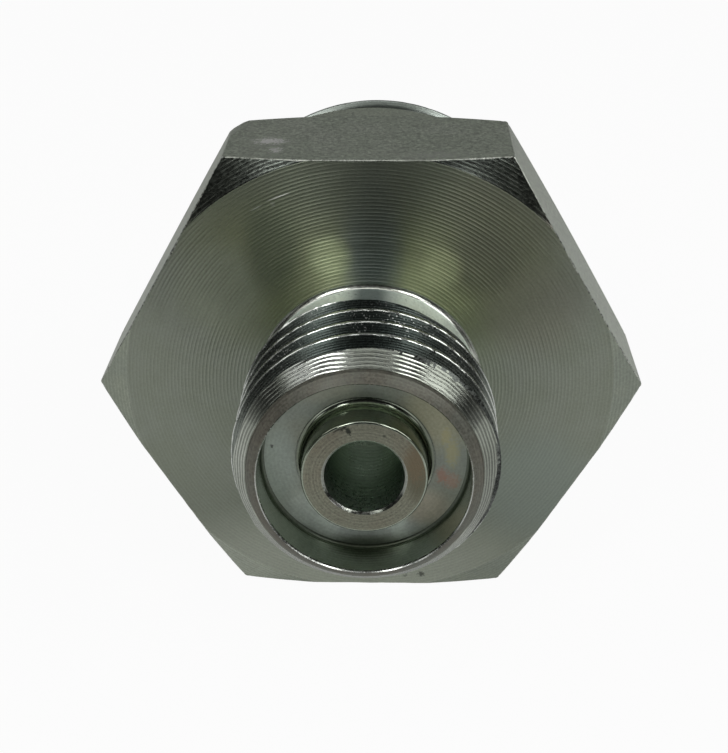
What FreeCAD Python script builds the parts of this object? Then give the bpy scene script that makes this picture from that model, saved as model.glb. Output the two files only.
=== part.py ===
import FreeCAD, Part
import math
import os

import Sketcher

# Hydraulic adapter, one turned piece made from hexagon bar.
# Y is the axis of both studs and Z is up. The origin is where that axis meets the
# hexagon's front face, so the front stud reaches towards -Y. The piece lies on one of
# its flats. Both threads are plain cylinders of their major diameter here.

# Driving sizes: name, value in millimetres (angles in degrees), meaning
SIZES = [
    ("across_flats", 27.0, "width across the flats of the hexagon"),
    ("hex_thickness", 8.5, "length of the hexagon along the axis"),
    ("front_bevel_d", 27.7, "circle where the front corner bevel meets the face"),
    ("front_bevel_angle", 21.0, "slope of the front corner bevel from the face"),
    ("rear_bevel_d", 26.8, "circle where the rear corner bevel meets the face"),
    ("rear_bevel_angle", 30.0, "slope of the rear corner bevel from the face"),
    ("front_thread_d", 14.0, "major diameter of the front thread"),
    ("front_stud_length", 10.4, "front face of the hexagon to the tip of the stud"),
    ("front_relief_d", 11.9, "undercut behind the front thread"),
    ("front_relief_width", 2.7, "flat length of that undercut"),
    ("front_relief_exit", 0.6, "length of the undercut's slope up to the thread"),
    ("front_root_radius", 0.35, "fillet where the front stud meets the hexagon"),
    ("tip_face_d", 12.2, "outer edge of the tip's crowned end face"),
    ("tip_bevel_length", 1.0, "length of the bevel from the thread to that edge"),
    ("tip_crown", 0.55, "rise of the end face from its outer edge to the rim"),
    ("recess_d", 10.92, "rim of the round recess in the tip"),
    ("recess_depth", 2.3, "rim to floor of the recess"),
    ("recess_corner_radius", 0.8, "hollow between the recess's wall and floor"),
    ("nose_d", 6.5, "central nose that stands in the recess"),
    ("nose_setback", 0.4, "rim of the recess to the end of the nose"),
    ("nose_root_radius", 0.45, "fillet at the foot of the nose"),
    ("nose_edge_bevel", 0.15, "bevel on the outer edge of the nose's end"),
    ("orifice_d", 4.1, "bore through the nose"),
    ("orifice_mouth", 0.2, "bevel at the mouth of that bore"),
    ("collar_d", 26.5, "round sealing collar behind the hexagon"),
    ("collar_thickness", 2.6, "length of the collar"),
    ("collar_edge_bevel", 0.2, "bevel on the collar's rear edge"),
    ("rear_thread_d", 22.0, "major diameter of the rear thread"),
    ("rear_stud_length", 11.3, "collar to the end of the rear stud"),
    ("rear_relief_d", 19.6, "undercut in front of the rear thread"),
    ("rear_relief_width", 2.9, "flat length of that undercut"),
    ("rear_relief_exit", 0.6, "length of the undercut's slope up to the thread"),
    ("rear_root_bevel", 0.5, "bevel where the rear stud meets the collar"),
    ("rear_end_bevel", 1.5, "lead-in bevel at the end of the rear thread"),
    ("rear_bore_d", 12.0, "wide bore of the rear stud"),
    ("rear_bore_depth", 15.5, "end of the rear stud to the bore's full-width end"),
    ("rear_bore_mouth", 0.8, "bevel at the mouth of the wide bore"),
    ("drill_point_angle", 118.0, "cone that the drill leaves at the wide bore's end"),
]

# Places along the axis that several features share, as sums of the driving sizes
STATIONS = [
    ("tip_y", "-front_stud_length", "rim of the tip"),
    ("tip_edge_y", "tip_y + tip_crown", "outer edge of the end face"),
    ("front_thread_end_y", "tip_edge_y + tip_bevel_length", "full thread's end"),
    ("recess_floor_y", "tip_y + recess_depth", "floor of the recess"),
    ("nose_end_y", "tip_y + nose_setback", "end of the nose"),
    ("collar_y", "hex_thickness + collar_thickness", "seal face of the collar"),
    ("rear_end_y", "collar_y + rear_stud_length", "end of the rear stud"),
    ("rear_bore_floor_y", "rear_end_y - rear_bore_depth", "end of the wide bore"),
]

# How near an edge's place and radius must be to count as the one asked for
EDGE_TOLERANCE = 0.001

FULL_TURN = 360.0

doc = FreeCAD.newDocument("HydraulicAdapter")


def make_sheet():
    """Write the driving sizes and the stations into the spreadsheet."""
    sheet = doc.addObject("Spreadsheet::Sheet", "Sizes")
    row = 0
    for alias, value, meaning in SIZES:
        row += 1
        sheet.set("A%d" % row, meaning)
        sheet.set("B%d" % row, "%g" % value)
        sheet.setAlias("B%d" % row, alias)
    doc.recompute()
    for alias, formula, meaning in STATIONS:
        row += 1
        sheet.set("A%d" % row, meaning)
        sheet.set("B%d" % row, "=" + formula)
        sheet.setAlias("B%d" % row, alias)
        doc.recompute()
    return sheet


def origin_plane(body, role):
    """Find one of the body's own origin planes, such as XY_Plane."""
    for feature in body.Origin.OriginFeatures:
        if feature.Role == role:
            return feature
    raise RuntimeError("no origin plane " + role)


def new_sketch(body, name, role):
    """Start a sketch on one of the body's origin planes."""
    sketch = body.newObject("Sketcher::SketchObject", name)
    sketch.AttachmentSupport = (origin_plane(body, role), [""])
    sketch.MapMode = "FlatFace"
    return sketch


def fix_coordinate(sketch, kind, corner, formula):
    """Hold one coordinate of a corner at a formula of the sheet's sizes."""
    axis = -2 if kind == "DistanceX" else -1
    if formula == "0":
        sketch.addConstraint(Sketcher.Constraint("PointOnObject", corner, 1, axis))
        return
    index = sketch.addConstraint(Sketcher.Constraint(kind, corner, 1, 1.0))
    sketch.setExpression("Constraints[%d]" % index, formula)


def turned_profile(body, name, corners):
    """Sketch a closed profile to turn about Y, its corners as (radius, place) formulas."""
    sketch = new_sketch(body, name, "XY_Plane")
    count = len(corners)
    # The start points only need to differ, because every corner is then held in place
    start = [FreeCAD.Vector(1.0 + number % 2, number, 0) for number in range(count)]
    for number in range(count):
        line = Part.LineSegment(start[number], start[(number + 1) % count])
        sketch.addGeometry(line, False)
    for number in range(count):
        following = (number + 1) % count
        sketch.addConstraint(Sketcher.Constraint("Coincident", number, 2, following, 1))
    for number, (radius, place) in enumerate(corners):
        fix_coordinate(sketch, "DistanceX", number, radius)
        fix_coordinate(sketch, "DistanceY", number, place)
    return sketch


def check_volume(body, feature, sign):
    """Stop unless the feature added (sign 1) or removed (sign -1) material."""
    doc.recompute()
    before = feature.BaseFeature.Shape.Volume
    change = (feature.Shape.Volume - before) * sign
    if change <= 0:
        raise RuntimeError(feature.Name + " changed the volume the wrong way")
    body.Tip = feature


def turn_on(body, name, corners):
    """Add a turned form to the body."""
    sketch = turned_profile(body, name + "Profile", corners)
    feature = body.newObject("PartDesign::Revolution", name)
    feature.Profile = sketch
    feature.ReferenceAxis = (sketch, ["V_Axis"])
    feature.Angle = FULL_TURN
    check_volume(body, feature, 1)


def turn_off(body, name, corners):
    """Cut a turned form out of the body."""
    sketch = turned_profile(body, name + "Profile", corners)
    feature = body.newObject("PartDesign::Groove", name)
    feature.Profile = sketch
    feature.ReferenceAxis = (sketch, ["V_Axis"])
    feature.Angle = FULL_TURN
    check_volume(body, feature, -1)


def round_edges(body, sheet, place, diameter):
    """List the body's circular edges about Y at a named place and diameter."""
    centre_y = sheet.get(place) if place else 0.0
    radius = sheet.get(diameter) / 2
    found = []
    for number, edge in enumerate(body.Tip.Shape.Edges, start=1):
        if not isinstance(edge.Curve, Part.Circle):
            continue
        centre = edge.Curve.Center
        on_axis = abs(centre.x) < EDGE_TOLERANCE and abs(centre.z) < EDGE_TOLERANCE
        near = abs(centre.y - centre_y) < EDGE_TOLERANCE
        if on_axis and near and abs(edge.Curve.Radius - radius) < EDGE_TOLERANCE:
            found.append("Edge%d" % number)
    if not found:
        raise RuntimeError("no edge at %s of %s" % (place or "the face", diameter))
    return found


def fillet(body, sheet, name, place, diameter, radius):
    """Round the circular edge at a named place and diameter."""
    edges = round_edges(body, sheet, place, diameter)
    base = body.Tip
    feature = body.newObject("PartDesign::Fillet", name)
    feature.Base = (base, edges)
    feature.setExpression("Radius", "Sizes." + radius)
    doc.recompute()
    body.Tip = feature


def chamfer(body, sheet, name, place, diameter, size):
    """Bevel the circular edge at a named place and diameter at 45 degrees."""
    edges = round_edges(body, sheet, place, diameter)
    base = body.Tip
    feature = body.newObject("PartDesign::Chamfer", name)
    feature.Base = (base, edges)
    feature.setExpression("Size", "Sizes." + size)
    doc.recompute()
    body.Tip = feature


def hexagon_bar(body, sheet):
    """The length of hexagon bar, with flats above and below."""
    sketch = new_sketch(body, "HexagonSection", "XZ_Plane")
    sides = 6
    circle = sides
    corner_radius = sheet.get("across_flats") / math.sqrt(3)
    start = []
    for number in range(sides):
        turn = FreeCAD.Rotation(FreeCAD.Vector(0, 0, 1), number * FULL_TURN / sides)
        start.append(turn.multVec(FreeCAD.Vector(corner_radius, 0, 0)))
    for number in range(sides):
        line = Part.LineSegment(start[number], start[(number + 1) % sides])
        sketch.addGeometry(line, False)
    corner_circle = Part.Circle()
    corner_circle.Radius = corner_radius
    sketch.addGeometry(corner_circle, True)
    sketch.addConstraint(Sketcher.Constraint("Coincident", circle, 3, -1, 1))
    for number in range(sides):
        following = (number + 1) % sides
        sketch.addConstraint(Sketcher.Constraint("Coincident", number, 2, following, 1))
        sketch.addConstraint(Sketcher.Constraint("PointOnObject", number, 1, circle))
    for number in range(1, sides):
        sketch.addConstraint(Sketcher.Constraint("Equal", 0, number))
    sketch.addConstraint(Sketcher.Constraint("Horizontal", 1))
    index = sketch.addConstraint(Sketcher.Constraint("Radius", circle, corner_radius))
    sketch.setExpression("Constraints[%d]" % index, "Sizes.across_flats / sqrt(3)")
    pad = body.newObject("PartDesign::Pad", "HexagonBar")
    pad.Profile = sketch
    pad.Reversed = True
    pad.setExpression("Length", "Sizes.hex_thickness")
    doc.recompute()
    body.Tip = pad


def bevel_corners(body):
    """Turn the hexagon's corners down to a cone at both faces."""
    corner = "Sizes.across_flats / sqrt(3)"
    outside = "Sizes.across_flats"
    front_cut = "(%s - Sizes.front_bevel_d / 2) * tan(Sizes.front_bevel_angle)" % outside
    rear_cut = "(%s - Sizes.rear_bevel_d / 2) * tan(Sizes.rear_bevel_angle)" % outside
    turn_off(body, "FrontCornerBevel", [
        ("Sizes.front_bevel_d / 2", "0"),
        (outside, front_cut),
        (outside, "-1 * (%s)" % corner),
        ("Sizes.front_bevel_d / 2", "-1 * (%s)" % corner),
    ])
    turn_off(body, "RearCornerBevel", [
        ("Sizes.rear_bevel_d / 2", "Sizes.hex_thickness"),
        ("Sizes.rear_bevel_d / 2", "Sizes.hex_thickness + %s" % corner),
        (outside, "Sizes.hex_thickness + %s" % corner),
        (outside, "Sizes.hex_thickness - %s" % rear_cut),
    ])


def front_stud(body):
    """The front stud: undercut, thread cylinder, bevelled and crowned tip."""
    turn_on(body, "FrontStud", [
        ("0", "0"),
        ("Sizes.front_relief_d / 2", "0"),
        ("Sizes.front_relief_d / 2", "-Sizes.front_relief_width"),
        ("Sizes.front_thread_d / 2", "-Sizes.front_relief_width - Sizes.front_relief_exit"),
        ("Sizes.front_thread_d / 2", "Sizes.front_thread_end_y"),
        ("Sizes.tip_face_d / 2", "Sizes.tip_edge_y"),
        ("Sizes.recess_d / 2", "Sizes.tip_y"),
        ("0", "Sizes.tip_y"),
    ])


def tip_recess(body):
    """The recess in the tip, which leaves the bored nose standing at its centre."""
    turn_off(body, "TipRecess", [
        ("0", "Sizes.tip_y"),
        ("Sizes.recess_d / 2", "Sizes.tip_y"),
        ("Sizes.recess_d / 2", "Sizes.recess_floor_y"),
        ("Sizes.nose_d / 2", "Sizes.recess_floor_y"),
        ("Sizes.nose_d / 2", "Sizes.nose_end_y"),
        ("0", "Sizes.nose_end_y"),
    ])


def rear_collar_and_stud(body):
    """The sealing collar and the rear stud: undercut, thread cylinder, lead-in bevel."""
    relief_end = "Sizes.collar_y + Sizes.rear_relief_width"
    turn_on(body, "RearStud", [
        ("0", "Sizes.hex_thickness"),
        ("Sizes.collar_d / 2", "Sizes.hex_thickness"),
        ("Sizes.collar_d / 2", "Sizes.collar_y"),
        ("Sizes.rear_relief_d / 2", "Sizes.collar_y"),
        ("Sizes.rear_relief_d / 2", relief_end),
        ("Sizes.rear_thread_d / 2", relief_end + " + Sizes.rear_relief_exit"),
        ("Sizes.rear_thread_d / 2", "Sizes.rear_end_y"),
        ("0", "Sizes.rear_end_y"),
    ])


def bores(body):
    """The orifice drilled from the nose and the wide bore drilled from the rear."""
    cone = "(Sizes.rear_bore_d / 2) / tan(Sizes.drill_point_angle / 2)"
    turn_off(body, "Orifice", [
        ("0", "Sizes.nose_end_y"),
        ("Sizes.orifice_d / 2", "Sizes.nose_end_y"),
        ("Sizes.orifice_d / 2", "Sizes.rear_end_y"),
        ("0", "Sizes.rear_end_y"),
    ])
    turn_off(body, "RearBore", [
        ("0", "Sizes.rear_end_y"),
        ("Sizes.rear_bore_d / 2", "Sizes.rear_end_y"),
        ("Sizes.rear_bore_d / 2", "Sizes.rear_bore_floor_y"),
        ("0", "Sizes.rear_bore_floor_y - " + cone),
    ])


def finish_edges(body, sheet):
    """Fillets and bevels on the turned edges."""
    fillet(body, sheet, "FrontRoot", "", "front_relief_d", "front_root_radius")
    fillet(body, sheet, "RecessCorner", "recess_floor_y", "recess_d", "recess_corner_radius")
    fillet(body, sheet, "NoseRoot", "recess_floor_y", "nose_d", "nose_root_radius")
    chamfer(body, sheet, "NoseEdge", "nose_end_y", "nose_d", "nose_edge_bevel")
    chamfer(body, sheet, "OrificeMouth", "nose_end_y", "orifice_d", "orifice_mouth")
    chamfer(body, sheet, "RearRoot", "collar_y", "rear_relief_d", "rear_root_bevel")
    chamfer(body, sheet, "CollarEdge", "collar_y", "collar_d", "collar_edge_bevel")
    chamfer(body, sheet, "RearThreadLead", "rear_end_y", "rear_thread_d", "rear_end_bevel")
    chamfer(body, sheet, "RearBoreMouth", "rear_end_y", "rear_bore_d", "rear_bore_mouth")


def make_adapter(sheet):
    """Model the adapter from the bar to its finished edges."""
    body = doc.addObject("PartDesign::Body", "AdapterBody")
    body.Label = "adapter_body"
    hexagon_bar(body, sheet)
    bevel_corners(body)
    front_stud(body)
    rear_collar_and_stud(body)
    tip_recess(body)
    bores(body)
    finish_edges(body, sheet)
    body.Placement = FreeCAD.Placement()
    return body


def write_parts(parts):
    """Check every object and shape, then write one STEP file for each sub-part."""
    doc.recompute()
    for item in doc.Objects:
        if "Invalid" in item.State or "Error" in item.State:
            raise RuntimeError(item.Name + " failed")
    for part in parts:
        if part.Shape.isNull() or not part.Shape.isValid():
            raise RuntimeError(part.Label + " has no valid shape")
    os.makedirs("parts", exist_ok=True)
    for part in parts:
        part.Shape.exportStep("parts/" + part.Label + ".step")
        box = part.Shape.BoundBox
        print("%s: %d solid, %.1f mm3, X %.2f..%.2f Y %.2f..%.2f Z %.2f..%.2f" % (
            part.Label, len(part.Shape.Solids), part.Shape.Volume,
            box.XMin, box.XMax, box.YMin, box.YMax, box.ZMin, box.ZMax))


adapter = make_adapter(make_sheet())
write_parts([adapter])
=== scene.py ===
"""Hydraulic adapter of plated steel: its finished surface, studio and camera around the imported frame.

The axis of the studs runs along Y, the front stud points towards -Y, and the part lies on a flat of its
hexagon. Sizes are in millimetres, and meshes are scaled to metres when they are made.
"""

import bisect
import logging
import math
import random
from dataclasses import dataclass, field
from enum import Enum
from typing import NamedTuple

import bmesh
import bpy
from mathutils import Matrix, Vector

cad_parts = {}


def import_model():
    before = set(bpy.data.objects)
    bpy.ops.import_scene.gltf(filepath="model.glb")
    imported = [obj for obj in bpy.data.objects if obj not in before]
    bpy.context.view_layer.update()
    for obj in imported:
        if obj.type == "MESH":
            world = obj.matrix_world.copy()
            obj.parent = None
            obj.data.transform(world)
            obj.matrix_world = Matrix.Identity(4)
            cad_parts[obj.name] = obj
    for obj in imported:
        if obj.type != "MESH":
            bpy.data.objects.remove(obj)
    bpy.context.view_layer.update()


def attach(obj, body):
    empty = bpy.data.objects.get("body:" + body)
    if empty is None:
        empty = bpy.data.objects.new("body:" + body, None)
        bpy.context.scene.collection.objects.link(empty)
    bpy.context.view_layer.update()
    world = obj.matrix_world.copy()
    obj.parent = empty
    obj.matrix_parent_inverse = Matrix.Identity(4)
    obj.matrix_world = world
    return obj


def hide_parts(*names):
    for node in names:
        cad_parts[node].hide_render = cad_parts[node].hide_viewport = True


LOG = logging.getLogger("adapter")

MM = 0.001
TURN = 2.0 * math.pi
SMOOTH_ANGLE = math.radians(20.0)
# Lengths shorter than this, in millimetres, get no points of their own
CLOSE = 0.006
# Keys of neighbouring outlines that differ by less than this are the same
SAME_KEY = 1e-6

Colour = tuple[float, float, float]
OLIVE: Colour = (0.315, 0.345, 0.28)
PALE: Colour = (0.345, 0.375, 0.315)
# Yellow of the plating, painted where the highlight streaks fall on the front face: partly painted
# highlight
HIGHLIGHT_YELLOW: Colour = (0.33, 0.365, 0.20)
# Blue-grey painted shade between the two highlight streaks of the front face
SHADE_BLUE: Colour = (0.27, 0.32, 0.31)
SHINE: Colour = (0.70, 0.73, 0.69)
BRIGHT: Colour = (0.85, 0.87, 0.82)
GLINT: Colour = (0.80, 0.82, 0.78)
# Near black of soot, cracks and dents, also used as painted shade at the orifice's mouth
SOOT_AND_SHADE: Colour = (0.05, 0.055, 0.045)
WHITE: Colour = (1.0, 1.0, 1.0)


class Zone(Enum):
    """The surfaces of the adapter that are finished apart."""

    ORIFICE = 0
    NOSE_FACE = 1
    NOSE_SIDE = 2
    RECESS = 3
    RIM = 4
    TIP_BEVEL = 5
    FLANK = 6
    CREST = 7
    RELIEF = 8
    ROOT = 9
    FACE = 10
    BEVEL = 11
    FLAT = 12
    COLLAR = 13
    REAR_END = 14
    BORE = 15
    REAR_THREAD = 16
    EDGE = 17
    MOUTH = 18
    BURR = 19
    RECESS_WALL = 20
    RECESS_CORNER = 21


class Station(NamedTuple):
    """A point of the turned outline in one half plane, and the surface that starts there.

    Keys grow along the outline. Points of neighbouring half planes with the same key are joined.
    """

    key: float
    radius: float
    along: float
    zone: Zone


def arc(centre: tuple[float, float], radius: float, start: float, end: float,
        steps: int) -> list[tuple[float, float]]:
    """Points of an arc in the half plane.

    Args:
        centre: Radius and place along the axis of the arc's centre.
        radius: The arc's radius.
        start: Angle of the first point in degrees, from the outward direction towards +Y.
        end: Angle of the last point in degrees.
        steps: Number of chords.

    Returns:
        The points from start to end, both included.
    """
    points = []
    for step in range(steps + 1):
        angle = math.radians(start + (end - start) * step / steps)
        points.append((centre[0] + radius * math.cos(angle), centre[1] + radius * math.sin(angle)))
    return points


def between(value: float, low: float, high: float) -> float:
    """How far a value is from low to high, held to 0 and 1."""
    return min(1.0, max(0.0, (value - low) / (high - low)))


@dataclass
class Ripple:
    """A smooth closed curve of seeded random heights round the part."""

    seed: int
    count: int
    heights: list[float] = field(init=False)

    def __post_init__(self) -> None:
        """Draw the heights."""
        draw = random.Random(self.seed)
        self.heights = [draw.random() for _ in range(self.count)]

    def at(self, angle: float) -> float:
        """Height at an angle.

        Args:
            angle: Angle round the part in radians.

        Returns:
            A value from 0 to 1.
        """
        place = (angle / TURN) % 1.0 * self.count
        index = int(place)
        share = place - index
        share = share * share * (3.0 - 2.0 * share)
        first = self.heights[index % self.count]
        second = self.heights[(index + 1) % self.count]
        return first + (second - first) * share


@dataclass(frozen=True)
class Blank:
    """The turned blank of a stud: a cylinder that falls off before one place and past another."""

    radius: float
    low: float
    low_slope: float
    high: float
    high_slope: float

    def at(self, along: float) -> float:
        """Radius at a place along the axis."""
        before, past = max(0.0, self.low - along), max(0.0, along - self.high)
        return self.radius - before * self.low_slope - past * self.high_slope


@dataclass
class Thread:
    """An outside metric thread that follows its helix and is held inside the turned blank.

    Its keys count from the base. In the half plane of angle 0 a crest lies at crest_along. The thread's
    points lie between start and end. It grows to its full depth over the fade, and its first edge has a
    burr.
    """

    base: int
    blank: Blank
    crest_along: float
    start: float
    end: float
    wear_seed: int
    wear: float
    crest: Zone = Zone.CREST
    flank: Zone = Zone.FLANK
    pitch: float = 1.5
    fade: tuple[float, float] | None = None
    burr: float = 0.0

    # Phase within a pitch, from the middle of a crest, and depth as a share of the pitch
    FORM = (
        (-0.092, 0.051), (-0.078, 0.030), (-0.066, 0.014), (-0.052, 0.004), (-0.03, 0.0), (0.045, 0.0),
        (0.062, 0.008), (0.078, 0.027), (0.155, 0.160), (0.24, 0.3074), (0.32, 0.446), (0.37, 0.532),
        (0.40, 0.570), (0.44, 0.600), (0.5, 0.6134), (0.56, 0.600), (0.60, 0.570), (0.63, 0.532),
        (0.68, 0.446), (0.76, 0.3074), (0.84, 0.169), (0.908, 0.051),
    )
    PHASES = tuple(phase for phase, _ in FORM)
    ROWS = len(FORM) - 1
    CREST_ROWS = (1, 2, 3, 4, 5, 6)
    # The end bevels of both studs lie outside these places, and the reliefs between them
    BEVELS = (-6.0, 20.0)
    # Chips start where the ripple passes this level
    CHIP_LEVEL = 0.55
    CHIP_DEPTH = 2.0
    RUB_DEPTH = 0.15

    def __post_init__(self) -> None:
        """Prepare the wear of the crests."""
        self.chips = Ripple(seed=self.wear_seed, count=97)
        self.burrs = Ripple(seed=self.wear_seed + 1, count=211)

    def depth(self, phase: float) -> float:
        """Depth below the crest.

        Args:
            phase: Place within the pitch, 0 in the middle of a crest.

        Returns:
            The depth in millimetres.
        """
        phase = (phase - self.PHASES[0]) % 1.0 + self.PHASES[0]
        index = min(max(bisect.bisect_right(self.PHASES, phase), 1), self.ROWS)
        (low, first), (high, second) = self.FORM[index - 1], self.FORM[index]
        return self.pitch * (first + (second - first) * between(phase, low, high))

    def stations(self, angle: float, turned: float) -> list[Station]:
        """The thread's points in one half plane, from the tip side on.

        Args:
            angle: Angle of the half plane in radians.
            turned: The same angle without a jump at the full turn, which shifts the keys.

        Returns:
            The stations, with keys that follow the helix.
        """
        crest = self.crest_along - self.pitch * turned / TURN
        first = math.floor((self.start - crest) / self.pitch) - 1
        last = math.ceil((self.end - crest) / self.pitch) + 1
        creases = (self.blank.low, self.blank.high)
        found = []
        for count in range(first, last + 1):
            for row in range(self.ROWS):
                phase = self.PHASES[row]
                along = crest + self.pitch * (count + phase)
                if not self.start + CLOSE < along < self.end - CLOSE:
                    continue
                if any(abs(along - crease) < CLOSE for crease in creases):
                    continue
                depth = self.depth(phase)
                if row in self.CREST_ROWS:
                    depth += self.worn(angle, count, row)
                found.append(self.station(count * self.ROWS + row, depth, along, row, angle))
        for crease in creases:
            place = (crease - crest) / self.pitch
            count = math.floor(place - self.PHASES[0])
            phase = place - count
            row = max(0, bisect.bisect_right(self.PHASES, phase) - 1)
            key = count * self.ROWS + row + between(phase, self.PHASES[row], self.PHASES[row + 1])
            found.append(self.station(key, self.depth(phase), crease, row, angle))
        found.sort(key=lambda station: station.key)
        return [item._replace(key=item.key + self.base) for item in found]

    def worn(self, angle: float, count: int, row: int) -> float:
        """Wear of a crest, different on every turn of the thread.

        Args:
            angle: Angle of the half plane in radians.
            count: Number of the turn.
            row: Row of the thread's form.

        Returns:
            The depth that the wear adds.
        """
        chip = max(0.0, self.chips.at(angle + 1.7 * count) - self.CHIP_LEVEL)
        burr = self.burrs.at(angle + 2.9 * count + 0.9 * row)
        return self.wear * (chip * burr * self.CHIP_DEPTH + self.RUB_DEPTH * burr)

    def station(self, key: float, depth: float, along: float, row: int, angle: float) -> Station:
        """One point of the thread, held inside the turned blank.

        Args:
            key: The point's key.
            depth: Depth below the crest.
            along: Place along the axis.
            row: Row of the thread's form.
            angle: Angle of the half plane in radians.

        Returns:
            The station with its surface.
        """
        limit, crest = self.blank.at(along), self.blank.radius
        if self.fade:
            depth *= between(along, *self.fade)
        burr = self.burr * (1.1 + 2.0 * self.chips.at(angle) * self.burrs.at(1.3 * angle))
        if self.burr and along < self.blank.low + 0.5 * burr and limit > crest - burr:
            return Station(key, min(crest - depth, limit), along, Zone.BURR)
        if limit < crest - max(depth, CLOSE):
            bevelled = along < self.BEVELS[0] or along > self.BEVELS[1]
            return Station(key, limit, along, Zone.TIP_BEVEL if bevelled else Zone.RELIEF)
        zone = self.crest if row in self.CREST_ROWS else self.flank
        return Station(key, min(crest - depth, limit), along, zone)


@dataclass
class TipTurning:
    """The orifice's wall, the nose, the recess and the crowned end of the front stud."""

    cone_end: float = 4.53
    orifice_radius: float = 2.05
    orifice_rings: tuple[float, ...] = (1.0, -2.6, -6.2)
    mouth_wide: float = 0.15
    mouth_deep: float = 0.08
    nose_radius: float = 3.25
    nose_end: float = -10.0
    nose_break: float = 0.13
    nose_ring: float = -9.1
    nose_root: float = 0.34
    groove: float = 0.03
    floor: float = -8.1
    floor_ring: float = 4.2
    recess_radius: float = 5.46
    corner: float = 0.2
    tip: float = -10.4
    face_radius: float = 6.1
    face_along: float = -9.85

    # Points of the rounded mouth: out from the orifice's wall, and along from the mouth's foot
    MOUTH = ((0.0, 0.05), (0.012, 0.015), (0.04, -0.012))
    # Points of the groove round the nose, in its own depth: out from the root, and along from the floor
    GROOVE = ((0.4, 1.0, Zone.FLANK), (1.2, 1.0, Zone.RECESS), (1.8, 0.0, Zone.RECESS))
    CORNER_ZONES = (Zone.RECESS_CORNER,) * 8 + (Zone.RECESS_WALL,) * 3
    # Points of the crown: out from the recess, and back from the tip
    CROWN = (
        (0.0, 0.16, Zone.CREST), (0.03, 0.08, Zone.CREST), (0.08, 0.03, Zone.RIM),
        (0.22, 0.12, Zone.RIM), (0.42, 0.28, Zone.RIM), (0.54, 0.41, Zone.RIM),
    )
    # Points where the crown turns into the bevel: out and back from the face's edge
    SHOULDER = ((-0.055, 0.02, Zone.RIM), (-0.02, 0.03, Zone.TIP_BEVEL), (0.02, 0.02, Zone.TIP_BEVEL))

    def stations(self) -> list[Station]:
        """The fixed points from the inner end of the orifice to the head of the tip's bevel.

        Returns:
            The stations in order.
        """
        bore, mouth = self.orifice_radius, self.nose_end + self.mouth_deep
        points = [(bore, along, Zone.ORIFICE) for along in (self.cone_end, *self.orifice_rings)]
        points += [(bore + out, mouth + along, Zone.MOUTH) for out, along in self.MOUTH]
        points += [
            (bore + self.mouth_wide, self.nose_end, Zone.NOSE_FACE),
            (0.5 * (bore + self.nose_radius), self.nose_end, Zone.NOSE_FACE),
        ]
        edge = (self.nose_radius - self.nose_break, self.nose_end + self.nose_break)
        root = (self.nose_radius + self.nose_root, self.floor - self.nose_root)
        side = arc(edge, self.nose_break, 270.0, 360.0, 5)
        side.append((self.nose_radius, self.nose_ring))
        side += arc(root, self.nose_root, 180.0, 90.0, 7)
        points += [(*point, Zone.NOSE_SIDE) for point in side]
        for out, deep, zone in self.GROOVE:
            points.append((root[0] + out * self.groove, self.floor + deep * self.groove, zone))
        points.append((self.floor_ring, self.floor, Zone.RECESS))
        corner = (self.recess_radius - self.corner, self.floor - self.corner)
        steps = len(self.CORNER_ZONES) - 1
        for point, zone in zip(arc(corner, self.corner, 90.0, 0.0, steps), self.CORNER_ZONES):
            points.append((*point, zone))
        for out, back, zone in self.CROWN:
            points.append((self.recess_radius + out, self.tip + back, zone))
        for out, back, zone in self.SHOULDER:
            points.append((self.face_radius + out, self.face_along + back, zone))
        return [Station(key, *point) for key, point in enumerate(points)]


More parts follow.
